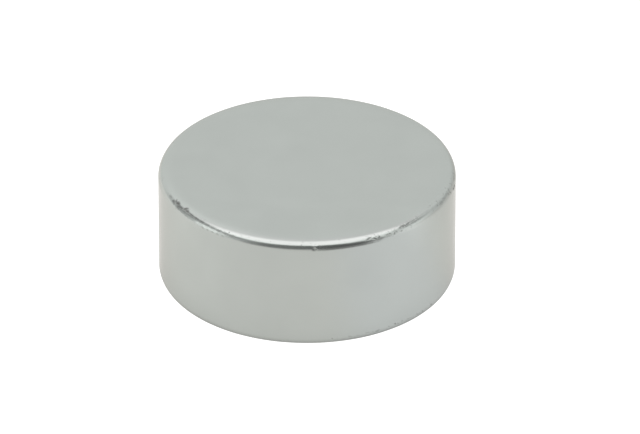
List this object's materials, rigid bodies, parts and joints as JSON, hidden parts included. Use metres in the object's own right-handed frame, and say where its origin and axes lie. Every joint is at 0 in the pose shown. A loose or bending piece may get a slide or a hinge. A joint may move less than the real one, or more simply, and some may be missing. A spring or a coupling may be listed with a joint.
{
  "type": "disc magnet",
  "caption": "Plain round disc magnet with bright plating, flat pole faces and a small rounded edge, lightly nicked round its upper rim.",
  "frame": {"origin": "centre of the lower pole face, which the disc rests on", "axes": "+Z is the disc's axis, up towards the upper pole face. The most nicked stretches of the upper edge face -X with -Y, and +X with -Y"},
  "size_m": [0.02, 0.02, 0.008],
  "materials": {
    "nickel_plating": "bright nickel plating over sintered magnet, smooth, with a few fine nicks along the upper edge"
  },
  "bodies": {
    "root": {"magnet": "nickel_plating"}
  },
  "joints": []
}
